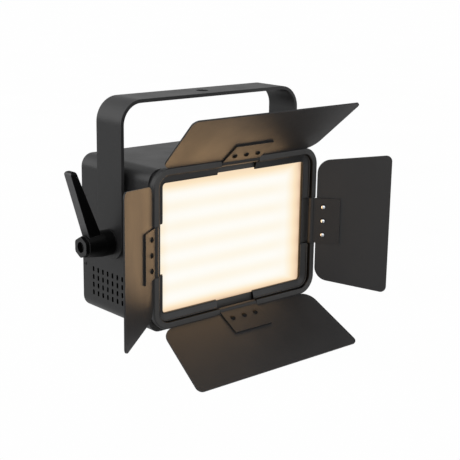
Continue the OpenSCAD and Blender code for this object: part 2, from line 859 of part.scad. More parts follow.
module driver_case() {
  t = 1.2;
  color([0.75, 0.76, 0.78]) at_lamp() difference() {
    translate([-driver_w / 2, driver_y, driver_z - driver_h / 2]) cube([driver_w, driver_d, driver_h]);
    translate([-driver_w / 2 + t, driver_y + t, driver_z - driver_h / 2 + t])
      cube([driver_w - 2 * t, driver_d - 2 * t, driver_h - 2 * t]);
    for (i = [0 : 9], j = [0 : 3])
      rod_y(-45 + i * 10, driver_z - 18 + j * 12, driver_y + driver_d - 3, 5, 2);
    rod_x(driver_w / 2 - 3, 6, 3, driver_y + 12, driver_z);
  }
}

module driver_board() {
  y0 = driver_y + 4;
  color([0.1, 0.35, 0.18]) at_lamp() {
    translate([-driver_w / 2 + 3, y0, driver_z - driver_h / 2 + 3]) cube([driver_w - 6, 1.6, driver_h - 6]);
    translate([-34, y0 + 1.5, driver_z - 14]) cube([28, 15, 26]);
    translate([12, y0 + 1.5, driver_z - 24]) cube([18, 12, 14]);
    for (x = [-50, 44]) rod_y(x, driver_z, y0 + 1.5, 15, 8);
    for (z = [-18, 18]) rod_y(20, driver_z + z * 0.9, y0 + 1.5, 13, 5);
  }
}

module control_board() {
  color([0.1, 0.35, 0.18]) at_lamp() {
    translate([screen_x - control_w / 2, control_y, control_z - control_h / 2])
      cube([control_w, 1.6, control_h]);
    translate([screen_x - screen_w / 2, control_y + 1.5, screen_z - screen_h / 2])
      cube([screen_w, 7, screen_h]);
    for (i = [0 : 3]) {
      translate([button_x(i) - 3, control_y + 1.5, button_z - 3]) cube([6, 3.5, 6]);
      rod_y(button_x(i), button_z, control_y + 4.9, switch_h - 4.9, 1.7);
    }
  }
}

// Standoffs: driver case on the fins, control board on the rear panel.
module standoffs() {
  board_back = control_y + 1.6;
  color([0.8, 0.75, 0.5]) at_lamp() {
    translate([0, 0, driver_z]) four(foot_x, foot_z) rod_y(0, 0, fin_back, driver_y - fin_back, 4);
    translate([screen_x, 0, control_z]) four(control_w / 2 - 3.5, control_h / 2 - 3.5)
      rod_y(0, 0, board_back, panel_y - board_back, 2.6);
  }
}

module display_lens() {
  color([0.03, 0.03, 0.04]) at_lamp() translate([screen_x, 0, screen_z])
    plate(screen_w - 0.2, screen_h - 0.2, 1.9, panel_y, panel_t);
}

// Push button: a cap with a collar that stops behind the panel.
module push_button(i) {
  stem_y = control_y + switch_h + button_travel + 0.2;
  collar_y = panel_y - 1.4;
  stand_off = 1.6;
  dome = 0.5;
  color([0.12, 0.12, 0.12]) at_lamp() {
    rod_y(button_x(i), button_z, collar_y, back_y + stand_off - dome - collar_y, button_r);
    translate([button_x(i), back_y + stand_off - dome, button_z]) rotate([-90, 0, 0])
      cylinder(r1 = button_r, r2 = button_r - dome, h = dome);
    rod_y(button_x(i), button_z, collar_y, 1.2, button_r + 1);
    rod_y(button_x(i), button_z, stem_y, collar_y - stem_y + eps, 1.6);
  }
}

module button_menu() { push_button(0); }
module button_down() { push_button(1); }
module button_up() { push_button(2); }
module button_enter() { push_button(3); }

// ---------- connectors ----------

// Flange and barrel of a panel connector, with its two screw holes.
module port_body(x, barrel_len) {
  difference() {
    union() {
      translate([x, 0, row_z]) plate(port_w, port_h, 3, back_y, port_t);
      rod_y(x, row_z, panel_y - barrel_len, barrel_len + panel_t + port_t, port_r - 0.1);
    }
    port_screw_at(x) rod_y(0, 0, back_y - 1, 6, screw_r + 0.1);
  }
}

// Locking round mains connector with a keyed well.
module power_port(x) {
  difference() {
    port_body(x, 18);
    rod_y(x, row_z, back_y - 12, 20, 9.5);
  }
  rod_y(x, row_z, back_y - 12.1, 11, 5);
  for (a = [0, 180]) translate([x, back_y - 6, row_z]) rotate([0, a, 0])
    translate([8.6, 0, -1.2]) cube([1.6, 7, 2.4]);
}

module power_inlet() {
  color([0.1, 0.2, 0.5]) at_lamp() power_port(power_x[0]);
}

module power_outlet() {
  color([0.6, 0.6, 0.62]) at_lamp() power_port(power_x[1]);
}

// Angles of the three contacts in a data connector.
function contact_a(i) = [30, 150, 270][i];
contact_ring = 3.9;

module data_in() {
  color([0.2, 0.2, 0.2]) at_lamp() difference() {
    port_body(data_x[0], 16);
    rod_y(data_x[0], row_z, back_y - 14, 20, 8);
    for (i = [0 : 2]) rod_y(data_x[0] + contact_ring * cos(contact_a(i)),
                            row_z + contact_ring * sin(contact_a(i)), back_y - 25, 20, 1.2);
  }
}

module data_out() {
  color([0.2, 0.2, 0.2]) at_lamp() difference() {
    union() {
      difference() {
        port_body(data_x[1], 16);
        rod_y(data_x[1], row_z, back_y - 13, 20, 9.6);
        latch_pocket(0.15);
      }
      rod_y(data_x[1], row_z, back_y - 13.1, 14, 7.6);
    }
    for (i = [0 : 2]) rod_y(data_x[1] + contact_ring * cos(contact_a(i)),
                            row_z - contact_ring * sin(contact_a(i)), back_y - 14, 20, 1.4);
  }
}

// Space of the latch tab above the outlet's well; gap widens it all round.
module latch_pocket(gap) {
  translate([data_x[1] - 4 - gap, back_y - 4, row_z + 9.5 - gap])
    cube([8 + 2 * gap, 10, 4 + 2 * gap]);
}

module data_out_latch() {
  color([0.7, 0.7, 0.72]) at_lamp() difference() {
    translate([data_x[1] - 4, back_y - 2, row_z + 10]) cube([8, 6.2, 3]);
    translate([data_x[1] - 3, back_y + 3.6, row_z + 11.2]) cube([6, 1, 0.6]);
  }
}

module port_contacts() {
  color([0.85, 0.7, 0.35]) at_lamp() for (i = [0 : 2]) {
    rod_y(data_x[0] + contact_ring * cos(contact_a(i)), row_z + contact_ring * sin(contact_a(i)),
          back_y - 22, 19, 1.2);
    rod_y(data_x[1] + contact_ring * cos(contact_a(i)), row_z - contact_ring * sin(contact_a(i)),
          back_y - 13.5, 8, 1.4);
  }
}

module fuse_holder() {
  color([0.08, 0.08, 0.08]) at_lamp() difference() {
    union() {
      rod_y(fuse_x, row_z, panel_y - 22, 24, 6.9);
      rod_y(fuse_x, row_z, back_y, 2, 9);
    }
    rod_y(fuse_x, row_z, panel_y - 18, 30, 5);
  }
}

module fuse_cap() {
  color([0.12, 0.12, 0.12]) at_lamp() difference() {
    union() {
      rod_y(fuse_x, row_z, back_y - 12, 14.1, 5 - run_gap);
      rod_y(fuse_x, row_z, back_y + 2.1, 5, 7.5);
    }
    translate([fuse_x - 5, back_y + 5.4, row_z - 0.6]) cube([10, 3, 1.2]);
  }
}

module safety_bracket() {
  color([0.2, 0.2, 0.21]) at_lamp() difference() {
    union() {
      translate([0, 0, eye_z]) plate(28, 2 * eye_r, 3, back_y, bracket_t);
      translate([-eye_t / 2, back_y, eye_z - eye_r]) cube([eye_t, eye_out, 2 * eye_r]);
      rod_x(-eye_t / 2, eye_t, eye_r, back_y + eye_out, eye_z);
    }
    for (s = [-1, 1]) rod_y(s * eye_screw_x, eye_z, back_y - 1, 5, screw_r);
    rod_x(-5, 10, eye_hole_r, back_y + eye_out, eye_z);
  }
}

// ---------- internal leads ----------

// A round lead through a list of points, with a bead at every turn.
module lead(points, r) {
  for (i = [0 : len(points) - 2]) {
    run = points[i + 1] - points[i];
    translate(points[i]) rotate([0, acos(run[2] / norm(run)), atan2(run[1], run[0])])
      cylinder(r = r, h = norm(run), $fn = 24);
  }
  for (i = [1 : len(points) - 2]) translate(points[i]) sphere(1.2 * r, $fn = 24);
}

module led_lead() {
  start_x = driver_w / 2 - 6;
  drop_x = 96;
  y = driver_y + 12;
  color([0.75, 0.1, 0.1]) at_lamp()
    lead([[start_x, y, driver_z], [drop_x, y, driver_z], [drop_x, sink_y + sink_t, driver_z]], 1.6);
}

module fan_lead() {
  x0 = fan_x + 20;
  x1 = screen_x - control_w / 2 + 4;
  y = fan_y - 7;
  z = fan_z + 20;
  color([0.1, 0.1, 0.1]) at_lamp() lead([[x0, fan_y, z], [x0, y, z], [x1, y, z], [x1, control_y, z]], 1.2);
}

yoke();
pivot_bushes();
pivot_washers();
friction_spacers();
housing_shell();
front_bezel();
diffuser();
light_box();
led_board();
led_chips();
heat_sink();
stack_screws();
trunnion_inserts();
pivot_bolt();
lever_insert();
lever_screw();
lever_spring();
lever_handle();
barndoor_frame();
frame_screws();
hinge_pins();
leaf_top();
leaf_bottom();
leaf_left();
leaf_right();
hinge_top();
hinge_bottom();
hinge_left();
hinge_right();
rivets_top();
rivets_bottom();
rivets_left();
rivets_right();
rear_panel();
shell_screws();
panel_screws();
fan_frame();
fan_rotor();
fan_guard();
driver_case();
driver_board();
control_board();
standoffs();
display_lens();
button_menu();
button_down();
button_up();
button_enter();
power_inlet();
power_outlet();
data_in();
data_out();
data_out_latch();
port_contacts();
fuse_holder();
fuse_cap();
safety_bracket();
led_lead();
fan_lead();
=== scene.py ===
"""Looks for the LED panel light: materials, fine detail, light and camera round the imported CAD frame."""

import json
import math

import bmesh
import bpy
from mathutils import Matrix, Vector


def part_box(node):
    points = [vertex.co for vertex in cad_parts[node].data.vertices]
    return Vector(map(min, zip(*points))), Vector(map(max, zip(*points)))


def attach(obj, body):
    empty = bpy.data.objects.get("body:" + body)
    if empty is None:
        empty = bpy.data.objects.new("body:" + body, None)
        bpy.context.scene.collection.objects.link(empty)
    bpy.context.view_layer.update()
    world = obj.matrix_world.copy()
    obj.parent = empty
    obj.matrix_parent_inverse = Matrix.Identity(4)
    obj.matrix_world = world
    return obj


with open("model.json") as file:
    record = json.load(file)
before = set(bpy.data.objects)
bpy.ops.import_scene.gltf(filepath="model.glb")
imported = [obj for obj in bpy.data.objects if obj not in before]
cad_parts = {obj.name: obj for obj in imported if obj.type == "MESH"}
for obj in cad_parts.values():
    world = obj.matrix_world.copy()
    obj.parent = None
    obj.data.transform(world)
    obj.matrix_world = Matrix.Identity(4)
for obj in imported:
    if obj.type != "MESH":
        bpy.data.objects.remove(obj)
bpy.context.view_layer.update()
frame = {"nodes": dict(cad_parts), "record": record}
nodes = frame["nodes"]
MM = 0.001

# Light and camera
GLOW = 2.7  # how strongly the panel lights the leaves and frame
GLOW_TINT = (1.0, 0.64, 0.34, 1.0)  # colour of that light
ROOM_LEVEL = 1.3  # brightness of the room round the lamp
DIM_LEVEL = 0.32  # brightness of its far right-hand side
DIM_WAY = Vector((0.62, 0.3, 0.7))  # the way to that side
DIM_FROM = 0.1  # cosines between which the room dims
DIM_TO = 1.0
FLOOR_SIZE = 120  # in metres, as all lengths here
FLOOR_Z = -0.75
FLOOR_SEEN = 0.995  # how white the floor is in the picture
FLOOR_LEVEL = 0.5  # what the lamp gets from the floor near it
FLOOR_FAR = 0.13  # the same, from the floor far behind it on the right
FAR_WAY = (0.66, 0.75)  # the way there, in X and Y
FAR_FROM = 1.0  # distances that way between which the floor dims
FAR_TO = 2.5
SOFTBOX_AT = (-0.2, -0.2, 1.2)
SOFTBOX_SIZE = (1.2, 1.0)
SOFTBOX_POWER = 2.0
EYE = Vector((-721.5, -855.3, 136.7)) * MM
YAW, PITCH, ROLL = (math.radians(angle) for angle in (41.70, -14.17, 0.88))
SENSOR = 36.0  # camera's sensor width and focal length, in millimetres
FOCAL = 86.25

# The lamp
CORNER_R = 19 * MM  # outside corner radius of the barn-door frame
CORNER_STEPS = 14  # straight steps in one corner of a gasket bead
BEAD_SIDES = 12
NOTCH_GAP = 2 * MM  # from a hinge strap to the end of a bead
TILT_Z = -140 * MM  # height of the tilt axis
HUB_R = 11 * MM  # radius of the lever hub's outer end
HUB_X = -148.5 * MM  # the hub's end stands outward of this
AXIS_Z = sum(corner.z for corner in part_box("diffuser")) / 2  # height of the lamp's centre line
UNSHADED_END_DEPTH = 3 * MM  # depth at each end of the shell's tube where the slot walls keep their coat; deeper in, they get painted shade
RIGHT_LEAF = math.radians(55)  # angle of the right leaf at rest

WORN_EDGE_HIGHLIGHT = (0.16, 0.16, 0.165, 1.0)  # a coat's edge, paler where it's worn and as a painted highlight
UNLIT = (0.0008, 0.0008, 0.0008, 1.0)  # painted shade on the inside of the shell and its slot walls


# ---------- node-tree helpers ----------

def srgb(r, g, b):
    """A display colour, 0 to 255, as linear RGBA."""
    def lin(v):
        v /= 255
        return v / 12.92 if v <= 0.04045 else ((v + 0.055) / 1.055) ** 2.4
    return (lin(r), lin(g), lin(b), 1.0)


def scaled(colour, k):
    """A colour made k times as bright."""
    return tuple(min(1.0, c * k) for c in colour[:3]) + (1.0,)


class Tree:
    """A material's node tree, built one call per node."""

    def __init__(self, name):
        self.mat = bpy.data.materials.new(name)
        self.mat.use_nodes = True
        self.tree = self.mat.node_tree
        self.tree.nodes.clear()
        self.out = self.tree.nodes.new("ShaderNodeOutputMaterial")
        self.tex = self.tree.nodes.new("ShaderNodeTexCoord")
        self.coord = self.tex.outputs["Object"]

    def add(self, kind, inputs=None, **props):
        node = self.tree.nodes.new("ShaderNode" + kind)
        for key, value in props.items():
            setattr(node, key, value)
        for key, value in (inputs or {}).items():
            self.put(node.inputs[key], value)
        return node

    def put(self, socket, value):
        if isinstance(value, bpy.types.NodeSocket):
            self.tree.links.new(value, socket)
        else:
            socket.default_value = value

    def math(self, op, a, b=0.0, c=0.0):
        return self.add("Math", {0: a, 1: b, 2: c}, operation=op).outputs[0]

    def place(self):
        """The shaded point's X, Y and Z in the lamp's frame at rest."""
        return self.add("SeparateXYZ", {0: self.coord}).outputs

    def facing(self):
        """X, Y and Z of the shaded point's normal."""
        return self.add("SeparateXYZ", {0: self.tex.outputs["Normal"]}).outputs

    def noise(self, size, detail=3.0, rough=0.5, stretch=None):
        """Noise whose features are about size metres across."""
        vector = self.coord
        if stretch:
            vector = self.add("Mapping", {"Vector": vector, "Scale": stretch}).outputs[0]
        return self.add("TexNoise", {"Vector": vector, "Scale": 1.0 / size, "Detail": detail,
                                     "Roughness": rough}).outputs["Fac"]

    def ramp(self, fac, stops):
        """Colour that runs through the stops, each a position and its colour."""
        node = self.add("ValToRGB", {"Fac": fac})
        elements = node.color_ramp.elements
        while len(elements) < len(stops):
            elements.new(0.5)
        for element, (position, colour) in zip(elements, stops):
            element.position = position
            element.color = colour
        return node.outputs["Color"]

    def span(self, value, low, high, to_low=0.0, to_high=1.0):
        """Value's place between low and high, as a number from to_low to to_high and never past them."""
        return self.add("MapRange", {"Value": value, "From Min": low, "From Max": high,
                                     "To Min": to_low, "To Max": to_high}).outputs["Result"]

    def mix(self, fac, a, b):
        node = self.add("Mix", data_type="RGBA")
        self.put(node.inputs[0], fac)
        self.put(node.inputs[6], a)
        self.put(node.inputs[7], b)
        return node.outputs[2]

    def inward(self, start, full):
        """Share of a face that looks towards the lamp's axis, from none at cosine start to all at full."""
        place = self.place()
        facing = self.facing()
        sideways = self.math("MULTIPLY", self.math("SIGN", place[0]), facing[0])
        above = self.math("SIGN", self.math("SUBTRACT", place[2], AXIS_Z))
        upward = self.math("MULTIPLY", above, facing[2])
        return self.span(self.math("MINIMUM", sideways, upward), start, full)

    def rounded(self, radius):
        """Normals of the same solid with its edges rounded to radius."""
        return self.add("Bevel", {"Radius": radius}, samples=4).outputs[0]

    def edge(self, radius):
        """1 on convex edges and corners of a solid, 0 on flats."""
        bevel = self.rounded(radius)
        true_normal = self.add("NewGeometry").outputs["Normal"]
        dot = self.add("VectorMath", {0: bevel, 1: true_normal}, operation="DOT_PRODUCT")
        return self.span(dot.outputs["Value"], 0.995, 0.90)

    def bump(self, height, strength, distance, normal=None):
        inputs = {"Height": height, "Strength": strength, "Distance": distance}
        if normal is not None:
            inputs["Normal"] = normal
        return self.add("Bump", inputs).outputs[0]

    def surface(self, shader):
        self.tree.links.new(shader, self.out.inputs["Surface"])
        return self.mat

    def principled(self, **inputs):
        node = self.add("BsdfPrincipled")
        names = {"base": "Base Color", "rough": "Roughness", "metal": "Metallic", "normal": "Normal",
                 "spec": "Specular IOR Level"}
        for key, value in inputs.items():
            self.put(node.inputs[names[key]], value)
        return self.surface(node.outputs["BSDF"])


# ---------- materials ----------

def mottled(t, colour):
    """A coat's colour with faint, paler clouds."""
    cloud = t.noise(0.05, 4.0)
    return t.mix(t.span(cloud, 0.3, 0.7, 0.0, 0.35), colour, scaled(colour, 1.5))


def worn_highlit_edges(t, base, edge_wear_and_highlight):
    """A coat whose edges are painted pale in patches, partly as wear and partly as a painted highlight, by
    at most the given share.
    """
    patches = t.span(t.noise(0.012, 5.0), 0.42, 0.68, 0.0, edge_wear_and_highlight)
    # Wear and painted highlight: convex edges go pale in patches.
    return t.mix(t.math("MULTIPLY", t.edge(0.0006), patches), base, WORN_EDGE_HIGHLIGHT)


def coated(name, colour, rough=0.36, grain_depth=0.3, spec=0.5, edge_wear_and_highlight=0.3, shell=None):
    """Powder-coated sheet: fine texture, faint mottling and smoother edges painted paler in patches, partly
    as wear and partly as a painted highlight.

    Shell names a tube round the lamp's axis whose inside and slot walls are painted near-black, with little
    shine, as painted shade.
    """
    t = Tree(name)
    grain = 0.7 * MM
    speckle = t.noise(grain * 1.6, 2.0)
    base = t.mix(t.span(speckle, 0.62, 0.8, 0.0, 0.3), mottled(t, colour), scaled(colour, 2.6))
    base = worn_highlit_edges(t, base, edge_wear_and_highlight)
    smear = t.noise(0.03, 5.0, 0.6, stretch=(1.0, 1.0, 0.35))
    roughness = t.span(smear, 0.25, 0.75, rough - 0.04, rough + 0.06)
    if shell:
        low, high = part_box(shell)
        y = t.place()[1]
        depth = t.math("MINIMUM", t.math("SUBTRACT", y, low.y), t.math("SUBTRACT", high.y, y))
        across_slot = t.span(t.math("ABSOLUTE", t.facing()[1]), 0.5, 0.8)
        # Painted shade: the shell's inside and its deeper slot walls go near-black and lose most of their
        # shine.
        slot_wall = t.math("MULTIPLY", across_slot, t.math("GREATER_THAN", depth, UNSHADED_END_DEPTH))
        black = t.math("MAXIMUM", slot_wall, t.inward(-0.3, -0.6))
        base = t.mix(black, base, UNLIT)
        spec = t.span(black, 0.0, 1.0, spec, 0.03)
    fine = t.noise(grain, 2.0)
    orange = t.noise(grain * 5, 1.0)
    normal = t.bump(orange, 0.10, 0.0003, t.rounded(0.0004))
    normal = t.bump(fine, grain_depth, 0.00012, normal)
    return t.principled(base=base, rough=roughness, normal=normal, spec=spec)


def grip_plastic(name, face, side):
    """Moulded lever plastic: black polished sides, deepened by painted shade, and dull-finished faces that
    point outward from the yoke, painted paler as painted light.

    The hub's end is darker than the bar.
    """
    t = Tree(name)
    x, y, z = t.place()
    height = t.math("SUBTRACT", z, TILT_Z)
    squares = t.math("ADD", t.math("POWER", y, 2.0), t.math("POWER", height, 2.0))
    from_axis = t.math("SQRT", squares)
    in_hub = t.span(from_axis, HUB_R, HUB_R - MM)
    groove = t.math("MULTIPLY", in_hub, t.span(x, HUB_X, HUB_X + MM))
    outward = t.span(t.facing()[0], -0.72, -0.88)
    # Painted light: faces pointing outward from the yoke take the paler face colour, the rest the black side
    # colour as painted shade; the same mask also roughens them.
    matt_lit_face = t.math("MULTIPLY", outward, t.math("SUBTRACT", 1.0, groove))
    scuff = t.span(t.noise(0.006, 5.0, 0.6), 0.35, 0.7, 0.0, 0.5)
    face_tone = t.mix(scuff, face, scaled(face, 0.6))
    face_tone = t.mix(t.span(from_axis, 2 * HUB_R, HUB_R, 0.0, 0.75), face_tone, side)
    base = t.mix(matt_lit_face, side, face_tone)
    # Painted highlight along the lever's edges.
    edge = t.math("MULTIPLY", t.edge(0.0007), 0.35)
    base = t.mix(edge, base, scaled(face, 1.3))
    roughness = t.span(matt_lit_face, 0.0, 1.0, 0.34, 0.6)
    spec = t.span(matt_lit_face, 0.0, 1.0, 0.12, 0.5)
    normal = t.bump(t.noise(0.0005, 2.0), 0.25, 0.0001)
    return t.principled(base=base, rough=roughness, spec=spec, normal=normal)


def recessed(name, colour):
    """The barn-door frame's coat: painted lighter in patches on the rim's front as painted light, and
    near-black with little shine on its inner walls as painted shade.
    """
    t = Tree(name)
    inward = t.inward(-0.5, -0.85)
    base = worn_highlit_edges(t, mottled(t, colour), 0.3)
    # Painted light: the rim's forward-facing front is lightened in patches.
    forward = t.span(t.facing()[1], -0.965, -0.995)
    front_light_patches = t.span(t.noise(0.02, 4.0, 0.6), 0.3, 0.7, 0.7, 1.0)
    painted_front_light = (0.038, 0.037, 0.036, 1.0)
    shaded = (0.002, 0.002, 0.002, 1.0)
    base = t.mix(t.math("MULTIPLY", forward, front_light_patches), base, painted_front_light)
    # Painted shade: inner walls facing the lamp's axis go near-black, and their shine is cut below.
    base = t.mix(inward, base, shaded)
    roughness = t.span(t.noise(0.03, 5.0, 0.6), 0.25, 0.75, 0.33, 0.43)
    normal = t.bump(t.noise(0.0007, 2.0), 0.3, 0.00012, t.bump(t.noise(0.0035, 1.0), 0.10, 0.0003))
    spec = t.span(inward, 0.0, 1.0, 0.5, 0.08)
    return t.principled(base=base, rough=roughness, normal=normal, spec=spec)


def glinting_rivet(name, along):
    """Black rivet head whose crown, facing along, is painted bright nickel as a painted glint."""
    t = Tree(name)
    facing = t.add("VectorMath", {0: t.tex.outputs["Normal"], 1: along}, operation="DOT_PRODUCT")
    crown = t.span(facing.outputs["Value"], 0.70, 0.82)
    scuff = t.span(t.noise(0.0012, 3.0), 0.35, 0.7, 0.0, 0.4)
    bright = t.mix(scuff, (0.78, 0.82, 0.88, 1.0), (0.54, 0.57, 0.61, 1.0))
    base = t.mix(crown, (0.003, 0.003, 0.003, 1.0), bright)
    return t.principled(base=base, metal=crown, rough=t.span(scuff, 0.0, 0.4, 0.12, 0.26),
                        spec=0.2, normal=t.bump(t.noise(0.0006, 2.0), 0.05, 0.0001))


def moulded(name, colour, rough=0.45, depth=0.25):
    """Moulded plastic or rubber with a spark-eroded grain."""
    t = Tree(name)
    tone = t.span(t.noise(0.02, 3.0), 0.3, 0.7, 0.0, 0.4)
    base = t.mix(tone, colour, scaled(colour, 1.5))
    # Paler edges: partly wear and partly a painted highlight.
    base = t.mix(t.math("MULTIPLY", t.edge(0.0005), 0.25), base,
                 tuple(min(1.0, c * 3 + 0.02) for c in colour[:3]) + (1.0,))
    roughness = t.span(t.noise(0.01, 4.0), 0.3, 0.7, rough - 0.06, rough + 0.08)
    normal = t.bump(t.noise(0.0005, 2.0), depth, 0.0001)
    return t.principled(base=base, rough=roughness, normal=normal)


def metal(name, colour, rough, stretch=(1.0, 1.0, 1.0)):
    """Bare or plated metal with fine scratches, drawn out along the axes whose stretch is under 1."""
    t = Tree(name)
    tone = t.span(t.noise(0.008, 4.0), 0.3, 0.7, 0.0, 0.5)
    base = t.mix(tone, colour, scaled(colour, 0.72))
    lines = t.noise(0.0004, 3.0, stretch=stretch)
    roughness = t.span(lines, 0.3, 0.7, rough - 0.08, rough + 0.12)
    return t.principled(base=base, metal=1.0, rough=roughness, normal=t.bump(lines, 0.12, 0.00008))


def tray(name):
    """Folded steel tray of the light box: white reflective inside, black outside."""
    t = Tree(name)
    low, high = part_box("light_box")
    middle = (low + high) / 2
    skin = 0.6 * MM
    place = t.place()
    depths = []
    for axis in (0, 2):
        from_middle = t.math("ABSOLUTE", t.math("SUBTRACT", place[axis], middle[axis]))
        depths.append(t.math("SUBTRACT", (high[axis] - low[axis]) / 2, from_middle))
    inside = t.math("GREATER_THAN", t.math("MINIMUM", *depths), skin)
    cloud = t.span(t.noise(0.02, 3.0), 0.3, 0.7, 0.0, 0.3)
    white = t.mix(cloud, (0.85, 0.84, 0.80, 1.0), (0.75, 0.74, 0.71, 1.0))
    black = t.mix(cloud, (0.006, 0.006, 0.006, 1.0), (0.009, 0.009, 0.009, 1.0))
    return t.principled(base=t.mix(inside, black, white), rough=0.45, spec=0.3,
                        normal=t.bump(t.noise(0.0006, 2.0), 0.2, 0.0001))


def board(name, colour):
    """Circuit board: solder mask with tracks and pads."""
    t = Tree(name)
    tracks_per_m = 160.0
    pads_per_m = 420.0
    tinned = (0.75, 0.72, 0.62, 1.0)
    cells = t.add("TexVoronoi", {"Vector": t.coord, "Scale": tracks_per_m}, distance="MANHATTAN")
    track = t.span(cells.outputs["Distance"], 0.32, 0.36)
    base = t.mix(track, scaled(colour, 0.6), colour)
    dots = t.add("TexVoronoi", {"Vector": t.coord, "Scale": pads_per_m})
    pads = t.span(dots.outputs["Distance"], 0.2, 0.17)
    base = t.mix(t.math("MULTIPLY", pads, 0.6), base, tinned)
    return t.principled(base=base, rough=0.35, normal=t.bump(track, 0.3, 0.0001))


def lit_sheet(name):
    """The diffuser: warm white, brighter over each row of LEDs, warmer and dimmer at its edges."""
    t = Tree(name)
    low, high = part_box("led_chips")
    chip_h = 3.5 * MM
    rows = 6
    pitch = (high.z - low.z - chip_h) / (rows - 1)
    x, _, z = t.place()
    phase = t.math("MULTIPLY", t.math("SUBTRACT", z, high.z - chip_h / 2), 2 * math.pi / pitch)
    band = t.math("MULTIPLY", t.math("COSINE", phase), t.span(x, 55 * MM, 85 * MM, 0.09, 0.02))
    drift = t.math("MULTIPLY", t.math("SUBTRACT", t.noise(0.05, 2.0), 0.5), 0.10)
    above = t.math("SUBTRACT", z, AXIS_Z)

    def edge_drop(value, start, end, power, depth):
        """Loss of light near one edge, from none at start to depth at end."""
        return t.math("MULTIPLY", t.math("POWER", t.span(value, start, end), power), depth)

    drop = edge_drop(above, 50 * MM, 66 * MM, 1.0, 0.62)
    for other in (edge_drop(above, -55 * MM, -67 * MM, 1.5, 0.72),
                  edge_drop(x, 73 * MM, 96 * MM, 1.15, 0.72),
                  edge_drop(x, -80 * MM, -95 * MM, 1.0, 0.34)):
        drop = t.math("SMOOTH_MAX", drop, other, 0.08)
    middle_level = 0.90
    level = t.math("SUBTRACT", t.math("ADD", t.math("ADD", band, middle_level), drift), drop)
    colour = t.ramp(level, [(0.0, srgb(160, 130, 100)),
                            (0.15, srgb(214, 184, 154)),
                            (0.30, srgb(244, 216, 184)),
                            (0.45, srgb(252, 230, 196)),
                            (0.60, srgb(254, 240, 216)),
                            (0.80, srgb(254, 248, 234)),
                            (1.0, srgb(255, 254, 249))])
    seen = t.add("LightPath").outputs["Is Camera Ray"]
    power = t.math("ADD", t.math("MULTIPLY", seen, 1.0 - GLOW), GLOW)
    glow = t.mix(seen, GLOW_TINT, colour)
    emission = t.add("Emission", {"Color": glow, "Strength": power})
    return t.surface(emission.outputs[0])


SHEET_COAT = (0.015, 0.015, 0.0155, 1.0)  # coat on the housing, the rear panel, the yoke and its bracket

LOOKS = {
    "satin_coat": coated("satin_coat", SHEET_COAT),
    "shell_coat": coated("shell_coat", SHEET_COAT, rough=0.38),
    "leaf_coat": coated("leaf_coat", (0.013, 0.013, 0.0138, 1.0), rough=0.40),
    "matt_black": coated("matt_black", (0.012, 0.011, 0.010, 1.0), rough=0.5),
    "pale_nylon": moulded("pale_nylon", (0.7, 0.7, 0.66, 1.0)),
    "fibre": moulded("fibre", (0.02, 0.02, 0.02, 1.0), rough=0.8),
    "zinc_steel": metal("zinc_steel", (0.62, 0.62, 0.64, 1.0), rough=0.32),
    "black_steel": coated("black_steel", (0.006, 0.006, 0.006, 1.0), rough=0.30, grain_depth=0.1, edge_wear_and_highlight=0.5),
    "rivet_steel": coated("rivet_steel", (0.002, 0.002, 0.002, 1.0), rough=0.3, grain_depth=0.05,
                          spec=0.12, edge_wear_and_highlight=0.2),
    "black_anodised": coated("black_anodised", (0.004, 0.004, 0.0045, 1.0), rough=0.5, spec=0.2, edge_wear_and_highlight=0.15),
    "bare_aluminium": metal("bare_aluminium", (0.72, 0.73, 0.75, 1.0), rough=0.35, stretch=(1.0, 1.0, 0.03)),
    "diffuser_sheet": lit_sheet("diffuser_sheet"),
    "white_board": board("white_board", (0.8, 0.8, 0.77, 1.0)),
    "led_phosphor": moulded("led_phosphor", (0.85, 0.6, 0.12, 1.0), rough=0.3),
    "green_board": board("green_board", (0.02, 0.13, 0.05, 1.0)),
    "brass_post": metal("brass_post", (0.75, 0.58, 0.26, 1.0), rough=0.3),
    "brass_contact": metal("brass_contact", (0.85, 0.66, 0.3, 1.0), rough=0.2),
    "dark_lens": moulded("dark_lens", (0.006, 0.007, 0.009, 1.0), rough=0.1, depth=0.02),
    "black_plastic": moulded("black_plastic", (0.010, 0.010, 0.0105, 1.0), rough=0.42),
    "black_rubber": moulded("black_rubber", (0.018, 0.018, 0.018, 1.0), rough=0.6),
    "blue_plastic": moulded("blue_plastic", (0.012, 0.05, 0.26, 1.0), rough=0.4),
    "grey_plastic": moulded("grey_plastic", (0.26, 0.26, 0.27, 1.0), rough=0.4),
    "red_wire": moulded("red_wire", (0.4, 0.02, 0.015, 1.0), rough=0.4),
}

FRAME = recessed("frame_coat", (0.013, 0.013, 0.0135, 1.0))
HINGE = coated("hinge_coat", (0.012, 0.012, 0.0128, 1.0), rough=0.44, spec=0.42)
# Painted glint: the right leaf's rivets get a bright crown facing the way that leaf's inner face looks.
RIVET_GLINT = glinting_rivet("rivet_painted_glint", (-math.sin(RIGHT_LEAF), -math.cos(RIGHT_LEAF), 0.0))
# Lever colours: the pale outward-face colour is painted light; the near-black side colour is partly painted
# shade.
LEVER = grip_plastic("lever_plastic", (0.085, 0.085, 0.087, 1.0), (0.002, 0.002, 0.002, 1.0))
SHELL = coated("slotted_shell_coat", SHEET_COAT, shell="housing_shell")

# Nodes whose look depends on their own shape or place; the rest take their material slot's.
OWN_LOOKS = {"lever_handle": LEVER, "barndoor_frame": FRAME, "rivets_right": RIVET_GLINT,
             "light_box": tray("light_tray"), "housing_shell": SHELL,
             "hinge_top": HINGE, "hinge_bottom": HINGE, "hinge_left": HINGE, "hinge_right": HINGE}

slot_of = {s["node"]: s["material_slot"] for s in frame["record"]["subparts"]}
for name, obj in nodes.items():
    obj.data.materials.clear()
    obj.data.materials.append(OWN_LOOKS.get(name) or LOOKS[slot_of[name]])


# ---------- gasket beads on the barn-door frame ----------

